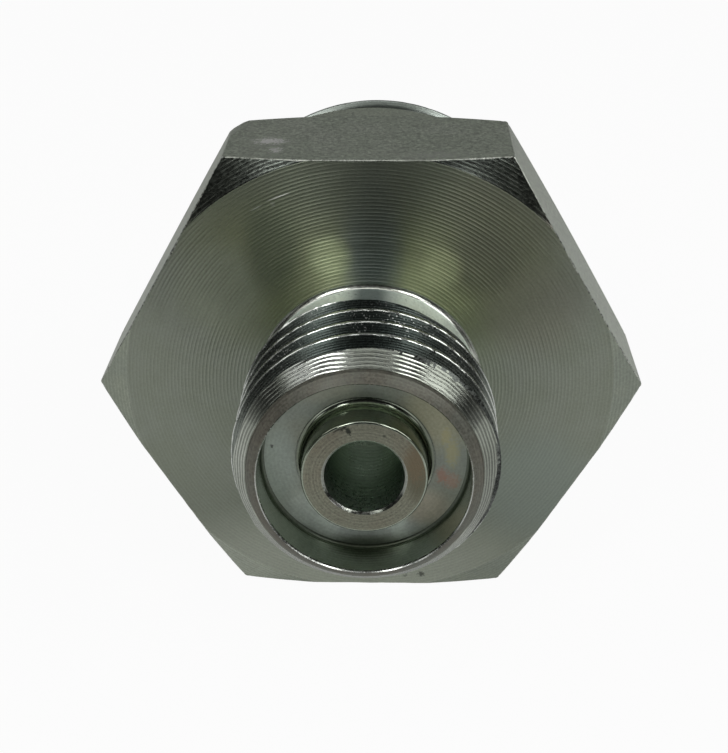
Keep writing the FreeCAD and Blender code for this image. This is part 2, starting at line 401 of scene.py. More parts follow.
@dataclass
class HexagonHead:
    """The relief behind the front thread, the front face, the six flats and their two turned bevels."""

    base: int = 2000
    relief_radius: float = 5.87
    relief_start: float = -2.7
    relief_rise: float = 0.25
    root: float = 0.35
    apothem: float = 13.5
    thickness: float = 8.5
    front_circle: float = 13.85
    front_angle: float = 21.0
    rear_circle: float = 13.4
    rear_angle: float = 30.0
    edge_break: float = 0.05
    rear_break: float = 0.06
    corner_round: float = 0.22
    worn_corner: float = 120.0
    worn_reach: float = 15.0
    worn_start: float = 5.1
    worn_radius: float = 15.42
    worn_curve: float = 0.032
    rear_edge: float = 7.24
    face_rings: tuple[float, ...] = (8.0, 9.5, 11.0, 12.4)
    flat_rings: tuple[float, ...] = (2.3, 4.6, 5.2, 5.8, 6.4, 6.9)

    # First keys of the head's surfaces, counted from its base
    ROOT_KEY = 2
    FACE_KEY = 20
    EDGE_KEY = 30
    FLAT_KEY = 40
    REAR_KEY = 50
    ROOT_ZONES = (Zone.RELIEF,) * 3 + (Zone.ROOT,) * 4 + (Zone.FACE,)
    # Dents start where the ripple passes this level
    DENT_LEVEL = 0.72
    DENT_DEPTH = 0.35
    # How much further back the broken edge ends than it is wide, as a share of its width
    EDGE_LEAN = 0.5

    def __post_init__(self) -> None:
        """Prepare the small nicks and dents of the front edge."""
        self.nicks = Ripple(seed=41, count=173)
        self.dents = Ripple(seed=42, count=61)

    def outline(self, angle: float) -> float:
        """Distance from the axis to the side of the hexagon.

        Args:
            angle: Angle of the half plane in radians, 0 at the corner on +X.

        Returns:
            The radius of the flat or of the rounded corner.
        """
        sixth = math.pi / 3.0
        off = abs((angle + 0.5 * sixth) % sixth - 0.5 * sixth)
        flat = self.apothem / math.cos(0.5 * sixth - off)
        corner = self.apothem / math.cos(0.5 * sixth)
        centre = corner - self.corner_round / math.cos(0.5 * sixth)
        aside = centre * math.sin(off)
        if aside >= self.corner_round:
            return flat
        return min(flat, centre * math.cos(off) + math.sqrt(self.corner_round ** 2 - aside ** 2))

    def worn(self, angle: float, along: float) -> float:
        """Distance from the axis to the side, with the one corner that is worn round behind.

        Args:
            angle: Angle of the half plane in radians.
            along: Place along the axis.

        Returns:
            The radius.
        """
        side = self.outline(angle)
        past = along - self.worn_start
        if abs(math.degrees(angle) - self.worn_corner) > self.worn_reach or past <= 0.0:
            return side
        return min(side, self.worn_radius - self.worn_curve * past * past)

    def nick(self, angle: float) -> float:
        """Width of the broken front edge, wider where it is dented.

        Args:
            angle: Angle of the half plane in radians.

        Returns:
            The width in millimetres.
        """
        uneven = self.nicks.at(angle)
        dent = max(0.0, self.dents.at(angle) - self.DENT_LEVEL) * uneven
        return self.edge_break * (0.65 + 0.7 * uneven) + self.DENT_DEPTH * dent

    def front(self, angle: float) -> list[tuple[float, float, float, Zone]]:
        """Points of the front face's edge and bevel.

        Args:
            angle: Angle of the half plane in radians.

        Returns:
            Key, radius, place along the axis and zone of each point.
        """
        side, broken = self.outline(angle), self.nick(angle)
        slope = math.tan(math.radians(self.front_angle))
        rise = max(0.0, side - broken - self.front_circle) * slope
        bevelled = rise > CLOSE
        start = min(self.front_circle, side - broken)
        found = [(self.EDGE_KEY, start, 0.0, Zone.BEVEL if bevelled else Zone.EDGE)]
        if bevelled:
            found.append((self.EDGE_KEY + 1, side - broken, rise, Zone.EDGE))
        foot = max(broken, rise + broken * (slope + self.EDGE_LEAN))
        found.append((self.EDGE_KEY + 2, side, foot, Zone.FLAT))
        return found

    def stations(self, angle: float) -> list[Station]:
        """The head's points in one half plane, from the relief's start to the collar's foot.

        Args:
            angle: Angle of the half plane in radians.

        Returns:
            The stations in order.
        """
        points = [
            (0, self.relief_radius, self.relief_start, Zone.RELIEF),
            (1, self.relief_radius + 0.45 * self.relief_rise, 0.5 * self.relief_start, Zone.RELIEF),
        ]
        centre = (self.relief_radius + self.relief_rise + self.root, -self.root)
        root = arc(centre, self.root, 180.0, 90.0, len(self.ROOT_ZONES) - 1)
        for step, (point, zone) in enumerate(zip(root, self.ROOT_ZONES)):
            points.append((self.ROOT_KEY + step, *point, zone))
        for step, radius in enumerate(self.face_rings):
            points.append((self.FACE_KEY + step, radius, 0.0, Zone.FACE))
        points += self.front(angle)
        for step, along in enumerate(self.flat_rings):
            points.append((self.FLAT_KEY + step, self.worn(angle, along), along, Zone.FLAT))
        side, broken = self.worn(angle, self.rear_edge), self.rear_break
        slope = math.tan(math.radians(self.rear_angle))
        back = self.thickness - (side - self.rear_circle) * slope
        points += [
            (self.REAR_KEY, side, back - broken, Zone.BEVEL),
            (self.REAR_KEY + 1, side - broken, back + broken * slope, Zone.BEVEL),
            (self.REAR_KEY + 2, self.rear_circle, self.thickness, Zone.COLLAR),
        ]
        return [Station(self.base + key, *rest) for key, *rest in points]


@dataclass
class RearTurning:
    """The sealing collar, the rear stud's relief and end, and the wide bore with its drilled cone."""

    base: int = 3000
    end_base: int = 5000
    collar_start: float = 8.5
    collar_end: float = 11.1
    collar_radius: float = 13.25
    collar_break: float = 0.2
    collar_round: float = 0.06
    relief_radius: float = 9.8
    relief_end: float = 14.0
    root: float = 0.5
    end: float = 22.4
    end_radius: float = 9.5
    bore_radius: float = 6.0
    bore_mouth: float = 0.8
    bore_rings: tuple[float, ...] = (17.0, 12.0)
    bore_floor: float = 6.9

    def collar(self) -> list[Station]:
        """Points of the collar and of the relief behind it.

        Returns:
            The stations in order.
        """
        rim, back, relief = self.collar_radius, self.collar_end, self.relief_radius
        points = [
            (rim, self.collar_start, Zone.COLLAR),
            (rim, 0.5 * (self.collar_start + back), Zone.COLLAR),
            (rim, back - self.collar_break, Zone.COLLAR),
            (rim - self.collar_round, back - self.collar_round, Zone.COLLAR),
            (rim - self.collar_break, back, Zone.COLLAR),
            (0.5 * (rim + relief), back, Zone.COLLAR),
            (relief + self.root, back, Zone.COLLAR),
            (relief, back + self.root, Zone.RELIEF),
            (relief, 0.5 * (back + self.relief_end), Zone.RELIEF),
            (relief, self.relief_end, Zone.RELIEF),
        ]
        return [Station(self.base + key, *point) for key, point in enumerate(points)]

    def finish_end(self) -> list[Station]:
        """Points of the rear end and of the bore down to the cone.

        Returns:
            The stations in order.
        """
        mouth = self.bore_radius + self.bore_mouth
        points = [
            (self.end_radius, self.end, Zone.REAR_END),
            (0.5 * (self.end_radius + mouth), self.end, Zone.REAR_END),
            (mouth, self.end, Zone.REAR_END),
        ]
        for along in (self.end - self.bore_mouth, *self.bore_rings, self.bore_floor):
            points.append((self.bore_radius, along, Zone.BORE))
        return [Station(self.end_base + key, *point) for key, point in enumerate(points)]


@dataclass
class Sweep:
    """Joins the half planes round the axis into one closed mesh, outline by outline."""

    verts: list[Vector] = field(default_factory=list)
    faces: list[tuple[int, ...]] = field(default_factory=list)
    zones: list[int] = field(default_factory=list)

    def column(self, angle: float, stations: list[Station]) -> list[int]:
        """Add the vertices of one half plane, in the piece's own axes.

        Args:
            angle: Angle of the half plane in radians.
            stations: Its outline.

        Returns:
            The indices of the new vertices.
        """
        first = len(self.verts)
        cosine, sine = math.cos(angle), math.sin(angle)
        for station in stations:
            across, height = station.radius * cosine, station.radius * sine
            self.verts.append(Vector((across * MM, -height * MM, station.along * MM)))
        return list(range(first, len(self.verts)))

    def add(self, face: tuple[int, ...], zone: Zone) -> None:
        """Add one face of a zone."""
        self.faces.append(face)
        self.zones.append(zone.value)

    def stitch(self, left: list[int], left_stations: list[Station], right: list[int],
               right_stations: list[Station]) -> None:
        """Fill the strip between two neighbouring half planes.

        Args:
            left: Vertices of the first half plane.
            left_stations: Its stations.
            right: Vertices of the next half plane.
            right_stations: Its stations.
        """
        here, there = 0, 0
        while here < len(left) - 1 or there < len(right) - 1:
            left_key = left_stations[here + 1].key if here < len(left) - 1 else math.inf
            right_key = right_stations[there + 1].key if there < len(right) - 1 else math.inf
            zone = left_stations[here].zone
            if abs(left_key - right_key) < SAME_KEY:
                self.add((left[here], left[here + 1], right[there + 1], right[there]), zone)
                here, there = here + 1, there + 1
            elif left_key < right_key:
                self.add((left[here], left[here + 1], right[there]), zone)
                here += 1
            else:
                self.add((left[here], right[there + 1], right[there]), right_stations[there].zone)
                there += 1
        # The drilled cone closes the outline, from the bore's floor to the orifice
        self.add((left[here], left[0], right[0], right[there]), Zone.BORE)


@dataclass
class AdapterPiece:
    """The adapter as one piece of steel, built from its turned and milled parts."""

    name: str = "adapter"
    plain_columns: int = 288
    corner_offsets: tuple[float, ...] = (0.22, 0.44, 0.66)
    texture_middle: float = 6.0
    texture_reach: float = 16.4
    tip: TipTurning = field(default_factory=TipTurning)
    head: HexagonHead = field(default_factory=HexagonHead)
    rear: RearTurning = field(default_factory=RearTurning)

    def __post_init__(self) -> None:
        """Set out both threads."""
        front = Blank(radius=7.0, low=-8.85, low_slope=0.9, high=-3.3, high_slope=1.88)
        self.front_thread = Thread(
            base=1000, blank=front, crest_along=-5.76, start=-9.78, end=-2.77, wear_seed=7, wear=0.07,
            fade=(-9.3, -8.95), burr=0.12)
        rear = Blank(radius=11.0, low=14.6, low_slope=2.0, high=20.9, high_slope=1.0)
        self.rear_thread = Thread(
            base=4000, blank=rear, crest_along=21.095, start=14.12, end=21.84, wear_seed=9, wear=0.03,
            crest=Zone.REAR_THREAD, flank=Zone.REAR_THREAD)

    def angles(self) -> list[float]:
        """Angles of the half planes, closer together at the hexagon's corners.

        Returns:
            The angles in radians, in order.
        """
        found = {360.0 * step / self.plain_columns for step in range(self.plain_columns)}
        for corner in range(6):
            for offset in self.corner_offsets:
                found.add((60.0 * corner + offset) % 360.0)
                found.add((60.0 * corner - offset) % 360.0)
        return [math.radians(angle) for angle in sorted(found)]

    def outline(self, angle: float, turned: float) -> list[Station]:
        """The whole closed outline in one half plane.

        Args:
            angle: Angle of the half plane in radians.
            turned: The same angle without a jump at the full turn.

        Returns:
            The stations in order of their keys.
        """
        return (
            self.tip.stations()
            + self.front_thread.stations(angle, turned)
            + self.head.stations(angle)
            + self.rear.collar()
            + self.rear_thread.stations(angle, turned)
            + self.rear.finish_end()
        )

    def mesh(self) -> bpy.types.Mesh:
        """Sweep the outline round the axis.

        Returns:
            The closed mesh, with each face's zone as its material index.
        """
        sweep, angles = Sweep(), self.angles()
        outlines = [self.outline(angle, angle) for angle in angles]
        columns = [sweep.column(angle, outline) for angle, outline in zip(angles, outlines)]
        outlines.append(self.outline(0.0, TURN))
        columns.append(columns[0])
        for index in range(len(angles)):
            sweep.stitch(columns[index], outlines[index], columns[index + 1], outlines[index + 1])
        mesh = bpy.data.meshes.new(self.name)
        mesh.from_pydata(sweep.verts, [], sweep.faces)
        mesh.polygons.foreach_set("material_index", sweep.zones)
        made = bmesh.new()
        made.from_mesh(mesh)
        bmesh.ops.recalc_face_normals(made, faces=made.faces)
        made.to_mesh(mesh)
        made.free()
        mesh.polygons.foreach_set("use_smooth", [True] * len(mesh.polygons))
        mesh.set_sharp_from_angle(angle=SMOOTH_ANGLE)
        mesh.use_auto_texspace = False
        mesh.texspace_location = (0.0, 0.0, self.texture_middle * MM)
        mesh.texspace_size = (self.texture_reach * MM,) * 3
        mesh.update()
        return mesh

    def build(self) -> bpy.types.Object:
        """Make the piece, dress it and tie it to the frame.

        Returns:
            The piece's object.
        """
        mesh = self.mesh()
        for zone in Zone:
            mesh.materials.append(FINISHES[zone].material())
        piece = bpy.data.objects.new(self.name, mesh)
        bpy.context.scene.collection.objects.link(piece)
        piece.matrix_world = Matrix.Rotation(math.radians(-90.0), 4, "X")
        bpy.context.view_layer.update()
        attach(piece, "root")
        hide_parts("adapter_body")
        LOG.info("%s: %d faces", piece.name, len(mesh.polygons))
        return piece


class Graph:
    """The nodes of one material or world, with one method that adds any node."""

    def __init__(self, owner: bpy.types.Material | bpy.types.World) -> None:
        """Start without nodes."""
        owner.use_nodes = True
        self.tree = owner.node_tree
        self.tree.nodes.clear()

    def node(self, kind: str, settings: dict | None = None, inputs: dict | None = None) -> bpy.types.Node:
        """Add a node.

        Args:
            kind: The node's type.
            settings: Values of its own settings, which are set first.
            inputs: Values or links of its sockets, by name or place.

        Returns:
            The new node.
        """
        made = self.tree.nodes.new(kind)
        for name, value in (settings or {}).items():
            setattr(made, name, value)
        for name, value in (inputs or {}).items():
            self.feed(made.inputs[name], value)
        return made

    def feed(self, socket: bpy.types.NodeSocket, value: object) -> None:
        """Link a value to a socket, or write a plain number or colour on it.

        Args:
            socket: The socket.
            value: A link, a number, a vector or a colour without its alpha.
        """
        if isinstance(value, Value):
            self.tree.links.new(value.socket, socket)
        elif isinstance(value, bpy.types.NodeSocket):
            self.tree.links.new(value, socket)
        elif isinstance(value, tuple) and len(value) == 3 and socket.type == "RGBA":
            socket.default_value = (*value, 1.0)
        else:
            socket.default_value = value

    def value(self, kind: str, settings: dict | None = None, inputs: dict | None = None,
              output: int | str = 0) -> "Value":
        """Add a node and wrap its named or numbered output."""
        return Value(self, self.node(kind, settings, inputs).outputs[output])

    def mix(self, factor: "Value | float", first: object, second: object, blend: str = "MIX") -> "Value":
        """Mix two colours.

        Args:
            factor: Share of the second colour.
            first: A colour or its link.
            second: A colour or its link.
            blend: The blend mode.

        Returns:
            The mixed colour.
        """
        settings = {"data_type": "RGBA", "blend_type": blend}
        return self.value("ShaderNodeMix", settings, {0: factor, 6: first, 7: second}, 2)

    def noise(self, scale: float, detail: float = 2.0, rough: float = 0.5, place: object = None,
              along: "Value | None" = None) -> "Value":
        """Noise from 0 to 1 in space, or along a value where one is given.

        Args:
            scale: Number of waves per unit.
            detail: Number of finer layers.
            rough: Strength of the finer layers.
            place: The point, for noise in space.
            along: The value, for noise along a line.

        Returns:
            The noise.
        """
        inputs = {"Scale": scale, "Detail": detail, "Roughness": rough}
        if along is not None:
            inputs["W"] = along
            return self.value("ShaderNodeTexNoise", {"noise_dimensions": "1D"}, inputs)
        inputs["Vector"] = place
        return self.value("ShaderNodeTexNoise", {"noise_dimensions": "3D"}, inputs)


class Value:
    """A shader socket whose operators add Math nodes."""

    def __init__(self, graph: Graph, socket: bpy.types.NodeSocket) -> None:
        """Wrap a socket of a graph."""
        self.graph = graph
        self.socket = socket

    def math(self, operation: str, *others: object, clamp: bool = False) -> "Value":
        """Add a Math node that starts with this value.

        Args:
            operation: The node's operation.
            others: Its further operands.
            clamp: Whether the result is held to 0 and 1.

        Returns:
            The result.
        """
        inputs = dict(enumerate((self, *others)))
        return self.graph.value("ShaderNodeMath", {"operation": operation, "use_clamp": clamp}, inputs)

    def __add__(self, other: object) -> "Value":
        """This value plus another."""
        return self.math("ADD", other)

    __radd__ = __add__

    def __sub__(self, other: object) -> "Value":
        """This value less another."""
        return self.math("SUBTRACT", other)

    def __rsub__(self, other: float) -> "Value":
        """A number less this value."""
        return self.math("MULTIPLY_ADD", -1.0, other)

    def __mul__(self, other: object) -> "Value":
        """This value times another."""
        return self.math("MULTIPLY", other)

    __rmul__ = __mul__

    def limit(self) -> "Value":
        """This value held to 0 and 1."""
        return self.math("ADD", 0.0, clamp=True)

    def step(self, low: float, high: float) -> "Value":
        """A soft step of this value.

        Args:
            low: Value at which the step is 0.
            high: Value at which the step is 1.

        Returns:
            The step, from 0 to 1.
        """
        settings = {"interpolation_type": "SMOOTHSTEP"}
        inputs = {"Value": self, "From Min": low, "From Max": high}
        if low > high:
            inputs = {"Value": self, "From Min": high, "From Max": low, "To Min": 1.0, "To Max": 0.0}
        return self.graph.value("ShaderNodeMapRange", settings, inputs)


@dataclass(frozen=True)
class Spot:
    """A stain, scuff, nick, painted highlight or painted shade with a ragged rim, at a place in the frame
    in millimetres.
    """

    place: tuple[float, float, float]
    size: float
    colour: Colour
    strength: float
    stretch: tuple[float, float, float] = (1.0, 1.0, 1.0)
    ragged: float = 0.35
    turn: float = 0.0

    # Share of the size within which a spot has its full strength
    CORE = 0.35


@dataclass(frozen=True)
class Wash(Spot):
    """A broad patch of colour with a soft, even rim; most washes paint light or shade, some a tone of the
    plating.
    """

    ragged: float = 0.0


class Marks(Enum):
    """How a surface was cut, which sets the run of its tool marks."""

    TURNED = "turned"
    MILLED = "milled"


@dataclass(frozen=True)
class SteelFinish:
    """One finish of the plated steel.

    The tool's travel is a sum of shares of the radius and of the place along the axis. Below the axis the
    marks' depth falls to the share low_depth. Washes lie under the marks, and spots over them.
    """

    name: str
    colour: Colour
    tint: Colour
    rough: float
    marks: Marks = Marks.TURNED
    travel: tuple[float, float] = (1.0, 0.0)
    line_pitch: float = 0.2
    line_depth: float = 0.004
    line_contrast: float = 0.25
    scallop: float = 0.6
    anisotropy: float = 0.0
    grain: float = 0.1
    sparkle: float = 0.0
    waver: float = 0.0
    metallic: float = 1.0
    low_depth: float = 1.0
    washes: tuple[Wash, ...] = ()
    spots: tuple[Spot, ...] = ()

    # The marks' depth falls from this height above the axis to as far below it
    FALL = 6.0

    def material(self) -> bpy.types.Material:
        """Make the finish.

        Returns:
            The material.
        """
        material = bpy.data.materials.new(self.name)
        graph = Graph(material)
        place = graph.value("ShaderNodeTexCoord", output="Object")
        place = graph.value("ShaderNodeVectorMath", {"operation": "SCALE"}, {0: place, "Scale": 1.0 / MM})
        split = graph.node("ShaderNodeSeparateXYZ", inputs={0: place})
        across, depth, along = (Value(graph, split.outputs[index]) for index in range(3))
        radius = (across * across + depth * depth).math("SQRT")
        lines = self.lines(graph, place, radius, along)
        cloud = graph.noise(scale=0.33, detail=3.0, rough=0.55, place=place)
        speck = graph.noise(scale=7.0, detail=2.0, rough=0.7, place=place).step(0.3, 0.7)
        colour = graph.mix(cloud.step(0.38, 0.66), self.colour, self.tint)
        for wash in self.washes:
            colour = graph.mix(self.mask(graph, wash, place, speck), colour, wash.colour)
        shade = 1.0 + (lines - 0.5) * (2.0 * self.line_contrast) + (speck - 0.5) * (2.0 * self.grain)
        tone = graph.value("ShaderNodeCombineColor", inputs={0: shade, 1: shade, 2: shade})
        colour = graph.mix(1.0, colour, tone, "MULTIPLY")
        if self.sparkle:
            glint = graph.noise(scale=9.0, detail=1.0, rough=0.5, place=place).step(0.62, 0.67)
            colour = graph.mix(glint * cloud.step(0.48, 0.60) * self.sparkle, colour, GLINT)
        for spot in self.spots:
            colour = graph.mix(self.mask(graph, spot, place, speck), colour, spot.colour)
        rough = self.rough + (speck - 0.5) * (0.8 * self.grain) + (cloud - 0.5) * 0.1
        height = lines
        if self.low_depth < 1.0:
            height = lines * (depth.step(self.FALL, -self.FALL) * (1.0 - self.low_depth) + self.low_depth)
        bump = graph.node("ShaderNodeBump", inputs={
            "Strength": 1.0, "Distance": self.line_depth * MM, "Height": height})
        shader = graph.node("ShaderNodeBsdfPrincipled", inputs={
            "Base Color": colour, "Metallic": self.metallic, "Roughness": rough.limit(),
            "Anisotropic": self.anisotropy, "Anisotropic Rotation": 0.25, "Normal": bump.outputs[0]})
        graph.node("ShaderNodeOutputMaterial", inputs={0: shader.outputs[0]})
        return material

    def lines(self, graph: Graph, place: Value, radius: Value, along: Value) -> Value:
        """Height of the tool marks.

        Args:
            graph: The material's graph.
            place: The point in millimetres.
            radius: Distance from the axis.
            along: Place along the axis.

        Returns:
            The height, about 0 to 1: a scalloped feed with finer lines between.
        """
        if self.marks is Marks.MILLED:
            return graph.noise(1.0 / self.line_pitch, 3.0, 0.6, place)
        travel = radius * self.travel[0] + along * self.travel[1]
        if self.waver:
            travel = travel + graph.noise(0.5, 1.0, 0.5, place) * (self.waver * self.line_pitch)
        fine = graph.noise(2.2 / self.line_pitch, 3.0, 0.65, along=travel)
        broad = graph.noise(0.6 / self.line_pitch, 1.0, 0.5, along=travel + 40.0)
        swell = graph.noise(0.3 / self.line_pitch, 1.0, 0.5, along=travel + 9.0)
        turns = (travel + broad * (0.12 * self.line_pitch)) * (1.0 / self.line_pitch)
        half = turns.math("FRACT") - 0.5
        cusp = half * half * 4.0 * (swell * 1.1 + 0.45)
        return cusp * self.scallop + (fine * 0.6 + broad * 0.4) * (1.0 - self.scallop)

    def mask(self, graph: Graph, spot: Spot, place: Value, speck: Value) -> Value:
        """The share of a spot's colour over the surface.

        Args:
            graph: The material's graph.
            spot: The spot.
            place: The point in millimetres, in the piece's own axes.
            speck: Noise that makes the spot's rim ragged.

        Returns:
            The mask, from 0 to the spot's strength.
        """
        own = (spot.place[0], -spot.place[2], spot.place[1])
        wide = (spot.stretch[0], spot.stretch[2], spot.stretch[1])
        away = graph.value("ShaderNodeVectorMath", {"operation": "SUBTRACT"}, {0: place, 1: own})
        if spot.turn:
            away = graph.value("ShaderNodeVectorRotate", {"rotation_type": "Z_AXIS"}, {
                "Vector": away, "Angle": math.radians(spot.turn)})
        away = graph.value("ShaderNodeVectorMath", {"operation": "DIVIDE"}, {0: away, 1: wide})
        length = graph.value("ShaderNodeVectorMath", {"operation": "LENGTH"}, {0: away}, "Value")
        if spot.ragged:
            length = length + (speck - 0.5) * (spot.size * spot.ragged * 2.0)
        return length.step(spot.size, spot.size * spot.CORE) * spot.strength


# Each patch is given by its place, size, colour and strength, then by its stretch, raggedness and turn
# Patches of the front face: mostly painted light and shade, a few tones that change across it
FACE_PAINTED_LIGHT_AND_TONES = (
    # Painted light: the bottom lighter, where the face mirrors the floor
    Wash((-2.0, 0.0, -13.5), 9.2, (0.64, 0.68, 0.58), 0.8, (1.6, 1.0, 0.75)),
    # Yellow painted where the highlight streaks fall, left and right of the stud
    Wash((-4.6, 0.0, 8.4), 7.0, HIGHLIGHT_YELLOW, 0.75, (1.0, 1.0, 1.1)),
    Wash((4.8, 0.0, 8.2), 7.0, HIGHLIGHT_YELLOW, 0.85, (1.0, 1.0, 1.1)),
    # Painted shade: blue-grey between the two streaks
    Wash((0.2, 0.0, 9.0), 2.2, SHADE_BLUE, 0.8, (1.0, 1.0, 2.4)),
    # Warmer and greener towards the right
    Wash((9.0, 0.0, 5.0), 4.0, (0.315, 0.315, 0.25), 0.6),
    Wash((9.5, 0.0, -6.5), 5.0, (0.315, 0.37, 0.33), 0.6),
    # Painted shade: darker at the top and to the upper right
    Wash((-0.4, 0.0, 14.0), 8.2, (0.16, 0.18, 0.14), 0.85, (1.7, 1.0, 0.9)),
    Wash((7.4, 0.0, 10.6), 4.6, (0.19, 0.20, 0.15), 0.75, (1.1, 1.0, 1.0)),
    Wash((6.3, 0.0, 7.7), 2.9, (0.19, 0.20, 0.15), 0.7),
    # Lighter at the upper left
    Wash((-8.2, 0.0, 6.2), 3.6, (0.42, 0.46, 0.36), 0.75),
    # Painted shade: a dark band left of the left streak
    Wash((-5.2, 0.0, 8.5), 2.7, (0.18, 0.21, 0.145), 0.75, (0.8, 1.0, 1.5)),
    # Painted highlights: the streaks brightest near the stud's root
    Wash((-2.1, 0.0, 8.0), 1.5, (0.52, 0.58, 0.36), 0.75),
    Wash((4.0, 0.0, 7.3), 1.5, (0.46, 0.50, 0.30), 0.7),
)
FACE_SPOTS = (
    Spot((-4.8, 0.0, 11.46), 0.85, BRIGHT, 0.5, (1.0, 1.0, 0.055), 0.1, 21.0),
    Spot((-6.0, 0.0, 10.83), 0.45, BRIGHT, 0.45, (1.0, 1.0, 0.08), 0.1, 28.0),
    Spot((-5.1, 0.0, 11.06), 0.16, PALE, 0.5),
    Spot((3.07, 0.0, -12.79), 0.28, SOOT_AND_SHADE, 0.7, (1.0, 1.0, 0.8), 0.3),
    Spot((2.1, 0.0, -12.9), 0.18, SOOT_AND_SHADE, 0.4, (1.0, 1.0, 0.8), 0.3),
    Spot((-7.3, 0.0, -12.9), 0.5, (0.22, 0.17, 0.10), 0.5, (1.4, 1.0, 0.7), 0.9),
)
FLAT_SPOTS = (
    Spot((-5.45, 3.4, 13.5), 0.95, (0.98, 0.98, 0.95), 1.0, (1.1, 0.7, 1.0), 0.5),
    Spot((-5.0, 1.8, 13.5), 0.35, (0.95, 0.95, 0.92), 0.9, (1.0, 1.5, 1.0), 0.8),
    Spot((3.8, 0.9, 13.5), 0.9, (0.60, 0.61, 0.58), 0.4, (1.4, 0.5, 1.0), 1.2),
)
# Patches of the recess floor: painted light and shade, and tones of its plating
RECESS_PAINTED_LIGHT_AND_TONES = (
    Wash((3.6, -8.1, 2.6), 2.6, (0.42, 0.41, 0.27), 0.75),
    # Painted light: the floor lighter at the bottom
    Wash((0.0, -8.1, -4.0), 2.4, (0.50, 0.55, 0.53), 0.8, (1.7, 1.0, 0.5)),
    # Lighter on the left
    Wash((-4.6, -8.1, -0.6), 2.4, (0.43, 0.50, 0.45), 0.7, (0.6, 1.0, 1.5)),
    # Painted light that fills the shadows the nose casts from both keys
    Wash((-3.2, -8.1, -3.2), 1.7, (0.48, 0.54, 0.49), 0.8),
    Wash((3.2, -8.1, -2.9), 1.6, (0.44, 0.41, 0.32), 0.8, (1.1, 1.0, 0.9)),
    Wash((-2.4, -8.1, 4.2), 1.8, (0.42, 0.43, 0.34), 0.6, (1.5, 1.0, 0.7)),
    # Painted shade: the dark crescent at the bottom, where the floor meets the wall
    Wash((0.0, -8.1, -5.75), 2.9, (0.05, 0.065, 0.045), 0.97, (1.3, 1.0, 0.56)),
    Wash((3.3, -8.1, -4.71), 2.6, (0.07, 0.09, 0.06), 0.7, (1.3, 1.0, 0.32), turn=35.0),
    Wash((-3.3, -8.1, -4.71), 2.6, (0.07, 0.09, 0.06), 0.45, (1.3, 1.0, 0.32), turn=-35.0),
)
# Painted shade darkens the bevel's top; painted light brightens its lower left and both upper sides
BEVEL_PAINTED_LIGHT_AND_SHADE = (
    Wash((0.0, 0.5, 15.0), 9.5, (0.195, 0.22, 0.195), 0.85, (1.5, 1.0, 0.9)),
    Wash((-9.0, 0.5, -12.0), 6.0, (0.45, 0.485, 0.41), 0.8),
    Wash((-10.8, 0.7, 8.4), 3.4, (0.62, 0.66, 0.52), 0.85),
    Wash((10.9, 0.7, 8.4), 3.2, (0.58, 0.53, 0.45), 0.85),
)
# Painted shade: the dark band on the rear thread just behind the collar
REAR_PAINTED_SHADE = (
    Wash((0.3, 20.2, 10.2), 1.3, (0.06, 0.07, 0.06), 1.0, (3.6, 1.2, 0.85)),
    Wash((0.3, 19.2, 10.8), 0.9, (0.06, 0.07, 0.06), 1.0, (4.2, 1.0, 1.0)),
)
# Painted shade darkens the tip bevel's bottom and right; a painted highlight lightens its upper left
TIP_PAINTED_LIGHT_AND_SHADE = (
    Wash((0.0, -9.4, -8.2), 7.6, (0.22, 0.24, 0.20), 0.9, (1.2, 1.0, 0.8)),
    Wash((6.6, -9.4, -0.8), 4.2, (0.26, 0.28, 0.24), 0.8),
    Wash((-2.3, -9.5, 6.1), 2.2, (0.74, 0.77, 0.72), 0.7),
)
# Painted shade: the recess corner darker still at the bottom
CORNER_PAINTED_SHADE = (
    Wash((0.3, -8.2, -5.3), 2.3, (0.06, 0.07, 0.05), 0.95, (1.5, 1.0, 0.8)),
)
# Painted shade: the nose's side darker at left and right
NOSE_PAINTED_SHADE = (
    Wash((-3.5, -8.1, 0.9), 2.7, (0.12, 0.135, 0.105), 0.9, (0.8, 0.5, 1.25)),
    Wash((3.5, -8.1, 0.9), 2.7, (0.12, 0.135, 0.105), 0.9, (0.8, 0.5, 1.25)),
)
# Painted shade: the front thread's flanks darker on top
FLANK_PAINTED_SHADE = (
    Wash((0.0, -6.0, 8.8), 9.6, (0.035, 0.044, 0.04), 0.97),
)
# Painted shade: the relief darker in the middle of its top
RELIEF_PAINTED_SHADE = (
    Wash((0.2, -1.3, 6.2), 2.8, (0.40, 0.45, 0.43), 0.6, (0.8, 2.0, 1.0)),
    Wash((0.1, -1.0, 6.2), 1.6, (0.14, 0.175, 0.165), 0.85, (0.8, 2.0, 1.0)),
)
RECESS_SPOTS = (
    Spot((0.2, -8.1, 4.9), 0.7, (0.36, 0.28, 0.22), 0.5, (0.9, 1.0, 1.0), 0.2),
    Spot((-4.82, -8.1, 0.75), 0.13, SOOT_AND_SHADE, 0.85, (0.9, 1.0, 1.2), 0.25),
    Spot((3.99, -8.1, -0.92), 0.50, (0.46, 0.22, 0.16), 0.55, (0.8, 1.0, 1.3), 0.22),
    Spot((4.5, -8.1, -1.3), 0.55, (0.46, 0.25, 0.18), 0.5, (1.0, 1.0, 1.1), 0.22),
    Spot((4.5, -8.1, 0.4), 0.7, (0.50, 0.46, 0.22), 0.5, (0.7, 1.0, 1.5), 0.2),
    Spot((4.15, -8.1, 1.35), 0.5, (0.50, 0.46, 0.22), 0.45, (0.7, 1.0, 1.4), 0.2),
)
